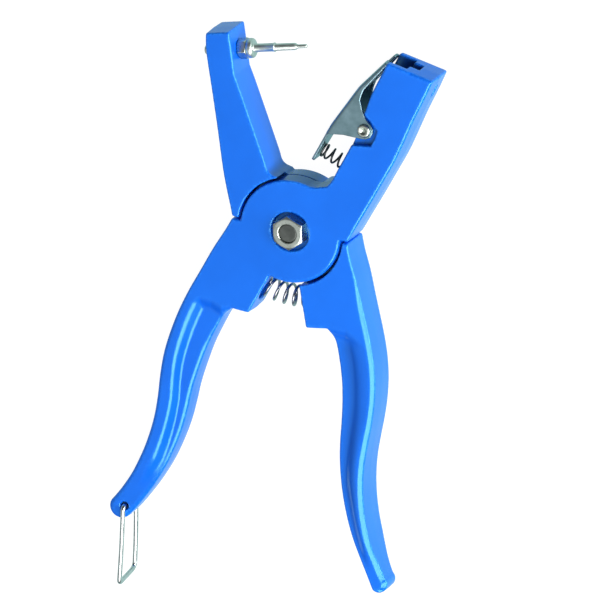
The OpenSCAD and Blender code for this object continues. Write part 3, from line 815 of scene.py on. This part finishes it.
done(pin, PIN, "lever_b", "pin_steel", "applicator_pin")

# lock nut at the pin's base
g = nut("lock", 8.0, 0.05, 4.2, 2.5, 0.0, 0.10, sink=0.25)
lock = g.mesh("pin_lock_nut_hex", edge_radius=4)
turn8 = Matrix.Rotation(math.radians(38.0), 4, "Z")
lock.data.transform(turn8)
M = Matrix([PIN_R[0] + [PIN_T[0] * MM], PIN_R[1] + [PIN_T[1] * MM], PIN_R[2] + [PIN_T[2] * MM], [0, 0, 0, 1]])
lock.data.transform(M)
lock.data.update()
done(lock, NUT, "lever_b", "nut_zinc", "pin_lock_nut")

# rivet with two rolled heads
prof = [(0, 1.05), (0.55, 1.0), (0.95, 0.8), (1.25, 0.42), (1.6, 0.20), (2.0, 0.15), (2.4, 0.22), (2.72, 0.45),
        (2.88, 0.80), (2.9, 1.1), (2.8, 1.36), (1.5, 1.4)]
full = prof + [(1.5, 9.0)] + [(r_, 18 - z_) for r_, z_ in prof[::-1]]
full = [(max(r_, 0), z_) for r_, z_ in full]
riv = lathe("clip_rivet_rolled", full, 40, ([[1, 0, 0], [0, 1, 0], [0, 0, 1]], (rivet_c[0], rivet_c[1], 0)))
done(riv, RIVET, "lever_a", "rivet_steel", "clip_rivet")


# ====================================================================== clip
cl = [(9.6, 30.8), (20.5, 47.6), (34, 64.5), (46.9, 76.3)]
C = Grid((7, 27, 0), (50, 80, 18), 0.2)
# signed distance to the sheet's outer line, positive outside, extended past both ends
e0 = (cl[0][0] - 3 * (cl[1][0] - cl[0][0]), cl[0][1] - 3 * (cl[1][1] - cl[0][1]))
e3 = (cl[3][0] + 3 * (cl[3][0] - cl[2][0]), cl[3][1] + 3 * (cl[3][1] - cl[2][1]))
soft = [e0] + [cl[0]] + [(19.6, 46.2), (20.5, 47.6), (21.5, 48.9)] + [(32.9, 63.2), (34, 64.5), (35.2, 65.65)] + [cl[3], e3]
outer = C.outline(soft + [(e3[0] + 200, e3[1] - 100), (e0[0] + 200, e0[1] - 100)])
outer = blur2(outer, 6)
t_sheet = 1.2
solid = rounded(outer[:, :, None], np.abs(C.Z - F(MID)) - F(7.55), F(1.7))
shell = np.abs(solid + t_sheet / 2) - t_sheet / 2
# where the sheet exists in plan: the ears, a narrow turned edge along the prongs, and the plate itself
ears = C.outline([(17.2, 43.4), (26, 43.3), (34.4, 41.9), (36.0, 41.82), (38.0, 42.6), (39.3, 44.5), (39.5, 46.2), (38.6, 48.3),
                  (37.3, 49.7), (36.4, 51.2), (35.2, 55), (34.6, 58.6), (35.6, 62.6), (31, 64.5), (16, 47)])
u3 = unit2((cl[3][0] - cl[2][0], cl[3][1] - cl[2][1]))
along3 = (C.x - cl[2][0]) * u3[0] + (C.y - cl[2][1]) * u3[1]
flange = np.maximum(-outer - (2.6 - 0.06 * np.clip(along3, 0, 20)), -(along3 + 6.0))
plan = smin(ears, flange, 1.5)
side = np.maximum(plan, along3 - 17.2)
u1 = unit2((cl[1][0] - cl[0][0], cl[1][1] - cl[0][1]))
along1 = (C.x - cl[0][0]) * u1[0] + (C.y - cl[0][1]) * u1[1]
half = np.where(along1 < 1.6, 3.0 + np.sqrt(np.maximum(1.6 ** 2 - (1.6 - along1) ** 2, 0)),
                np.interp(along1, [1.6, 10.6, 18.1, 21.6], [4.6, 5.3, 6.3, 9.0]))
half = np.where(along1 < 0, -1.0, half).astype(F)
plate = np.maximum(np.abs(C.Z - F(MID)) - half[:, :, None], -outer[:, :, None] - F(1.25) + 0 * C.Z)
plate = np.maximum(plate, (along3 - 17.2)[:, :, None])
keep = np.minimum(np.maximum(side[:, :, None], F(4.5) - np.abs(C.Z - F(MID))), plate)
D = smax(shell, keep, 0.35)
# fork for the pin, its end rounded
a46 = polar(1, 46)
fu = (C.X - cl[2][0]) * a46[0] + (C.Y - cl[2][1]) * a46[1]
fz = np.abs(C.Z - F(MID))
fork = np.where(fu > 0.2, fz - 3.2, np.sqrt((fu - 0.2) ** 2 + fz ** 2) - 3.2)
fork = np.maximum(fork, np.abs(outer[:, :, None] + 2) - 6)
D = smax(D, -fork, 0.35)
D = smax(D, -(np.sqrt((C.X - rivet_c[0]) ** 2 + (C.Y - rivet_c[1]) ** 2) - 1.55) + 0 * C.Z, 0.2)
C.D = D.astype(F)
done(C.mesh("clip_folded", edge_radius=3), CLIP, "clip", "clip_zinc", "clip")
del C, D, shell, solid, keep, plate


# =================================================================== springs
def tube(name, path, ups, r, n=14, closed=False):
    """Round wire along a path; rounded ends when open."""
    P, U = np.array(path, float), np.array(ups, float)
    m = len(P)
    if closed:
        Tn = np.roll(P, -1, 0) - np.roll(P, 1, 0)
    else:
        Tn = np.empty_like(P)
        Tn[1:-1] = P[2:] - P[:-2]
        Tn[0], Tn[-1] = P[1] - P[0], P[-1] - P[-2]
    Tn /= np.linalg.norm(Tn, axis=1)[:, None]
    U = U - (U * Tn).sum(1)[:, None] * Tn
    U /= np.linalg.norm(U, axis=1)[:, None]
    V = np.cross(Tn, U)
    rings = [(P[i], U[i], V[i], r) for i in range(m)]
    if not closed:
        caps0 = [(P[0] - Tn[0] * r * 0.30 * math.sin(a), U[0], V[0], r * math.cos(a) * 0.9 + r * 0.0)
                 for a in (1.35, 0.9, 0.4)]
        caps1 = [(P[-1] + Tn[-1] * r * 0.30 * math.sin(a), U[-1], V[-1], r * math.cos(a) * 0.9) for a in (0.4, 0.9, 1.35)]
        rings = caps0 + rings + caps1
    pts, faces = [], []
    for c, u, v, rr in rings:
        for k_ in range(n):
            a = 2 * math.pi * k_ / n
            pts.append(c + rr * (math.cos(a) * u + math.sin(a) * v))
    R = len(rings)
    for i in range(R if closed else R - 1):
        for k_ in range(n):
            a, b = i * n + k_, i * n + (k_ + 1) % n
            c, d = ((i + 1) % R) * n + (k_ + 1) % n, ((i + 1) % R) * n + k_
            faces.append((a, b, c, d))
    if not closed:
        faces.append(tuple(range(n - 1, -1, -1)))
        faces.append(tuple((R - 1) * n + k_ for k_ in range(n)))
    return build(name, np.array(pts) * MM, faces, smooth=True, sharp=60)


def share(s, n, g_):
    e = 1 / n
    if s < e:
        return g_ * s / e
    if s > 1 - e:
        return 1 - g_ * (1 - s) / e
    return g_ + (1 - 2 * g_) * (s - e) / (1 - 2 * e)


# return spring, bent about the pivot between its two pockets
seat_r, rs_wire, rs_d, rs_turns, seat_depth, rs_bow = 31.2, 1.2, 8.6, 7.5, 5.0, 0.7
give = 360 * (seat_depth - rs_wire / 2 - 0.7) / (2 * math.pi * seat_r)
a0 = math.degrees(math.atan2(seat_a[1], seat_a[0])) - give
a1 = math.degrees(math.atan2(seat_b[1], seat_b[0])) + give
N = 44
path, ups = [], []
for i in range(int(rs_turns * N) + 1):
    s = i / (rs_turns * N)
    a = math.radians(a0 + (a1 - a0) * share(s, rs_turns, 0.07))
    w = -2 * math.pi * i / N
    rr = seat_r - rs_bow * math.sin(math.pi * s) - rs_d / 2 * math.cos(w)
    path.append((rr * math.cos(a), rr * math.sin(a), MID + rs_d / 2 * math.sin(w)))
    ups.append((-math.cos(w) * math.cos(a), -math.cos(w) * math.sin(a), math.sin(w)))
rs = tube("return_spring_coil", path, ups, rs_wire / 2, 16)
done(rs, SPRING, None, "spring_steel", "return_spring")
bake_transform(rs)

# clip spring
cs_wire, cs_dd, cs_turns, cs_len = 0.9, 5.6, 5.0, 13.1
side_v = np.array([-cs_dir[1], cs_dir[0], 0])
path, ups = [], []
for i in range(int(cs_turns * N) + 1):
    w = 2 * math.pi * i / N
    t = cs_wire / 2 + 0.15 + (cs_len - cs_wire - 0.2) * share(i / (cs_turns * N), cs_turns, 0.08)
    c = np.array([cs_from[0] + cs_dir[0] * t, cs_from[1] + cs_dir[1] * t, MID])
    rad = math.cos(w) * side_v + np.array([0, 0, math.sin(w)])
    path.append(c + cs_dd / 2 * rad)
    ups.append(rad)
cs = tube("clip_spring_coil", path, ups, cs_wire / 2, 12)
done(cs, DARK, None, "dark_spring", "clip_spring")
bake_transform(cs)

# ====================================================================== bail
bd = polar(1, -96.6)


def bail_p(l, z, off=0.0):
    return np.array([bail_c[0] + l * bd[0] - off * bd[1], bail_c[1] + l * bd[1] + off * bd[0], z])


corners = [bail_p(0, 1.65), bail_p(0, 16.35), bail_p(34.4, 16.35), bail_p(31.4, 1.65) + np.array([1.0, 0, 0])]
bends = [1.6, 1.6, 1.5, 2.6]
path = []
for i in range(4):
    p, a, b = corners[i], corners[(i + 3) % 4], corners[(i + 1) % 4]
    u, v = (a - p) / np.linalg.norm(a - p), (b - p) / np.linalg.norm(b - p)
    m = bends[i] * 1.25
    for t in np.linspace(0, 1, 9):
        path.append(p + m * (u * (1 - t) ** 2 + v * t * t))
    nxt, mb = corners[(i + 1) % 4], bends[(i + 1) % 4] * 1.25
    L = np.linalg.norm(nxt - p)
    for t in np.linspace(m, L - mb, 8)[1:-1]:
        sway = 0.16 * math.sin(math.pi * (t - m) / (L - mb - m)) * (1 if i % 2 else 0)
        path.append(p + v * t + np.array([-bd[1], bd[0], 0]) * sway)
nrm = np.cross(np.array([bd[0], bd[1], 0]), np.array([0, 0, 1.0]))
bail = tube("bail_wire_loop", path, [nrm] * len(path), 1.0, 20, closed=True)
done(bail, WIRE, "bail", "bail_wire", "bail")

# ===================================================================== floor
floor = build("floor", [(-6, -6, -0.0002), (6, -6, -0.0002), (6, 6, -0.0002), (-6, 6, -0.0002)], [(0, 1, 2, 3)], smooth=False)
fm, nodes, links, bsdf = material("pale_floor")
n1 = noise(nodes, links, 3.0, 2.0, 0.5, position(nodes))
c1 = ramp(nodes, links, n1.outputs["Fac"], [(0.3, (0.125, 0.125, 0.125, 1)), (0.7, (0.135, 0.135, 0.135, 1))])
links.new(c1.outputs["Color"], bsdf.inputs["Base Color"])
bsdf.inputs["Roughness"].default_value = 0.9
bsdf.inputs["Specular IOR Level"].default_value = 0.1
# bright card under the part; glossy rays see a dimmer cyan-green emission instead, a painted reflection tint in the
# paint
path_kind = nodes.new("ShaderNodeLightPath")
glow = mixed(nodes, links, path_kind.outputs["Is Glossy Ray"], (0.97, 0.97, 0.97, 1), (0.39, 0.63, 0.61, 1))
links.new(glow, bsdf.inputs["Emission Color"])
bsdf.inputs["Emission Strength"].default_value = 1.0
floor.data.materials.append(fm)
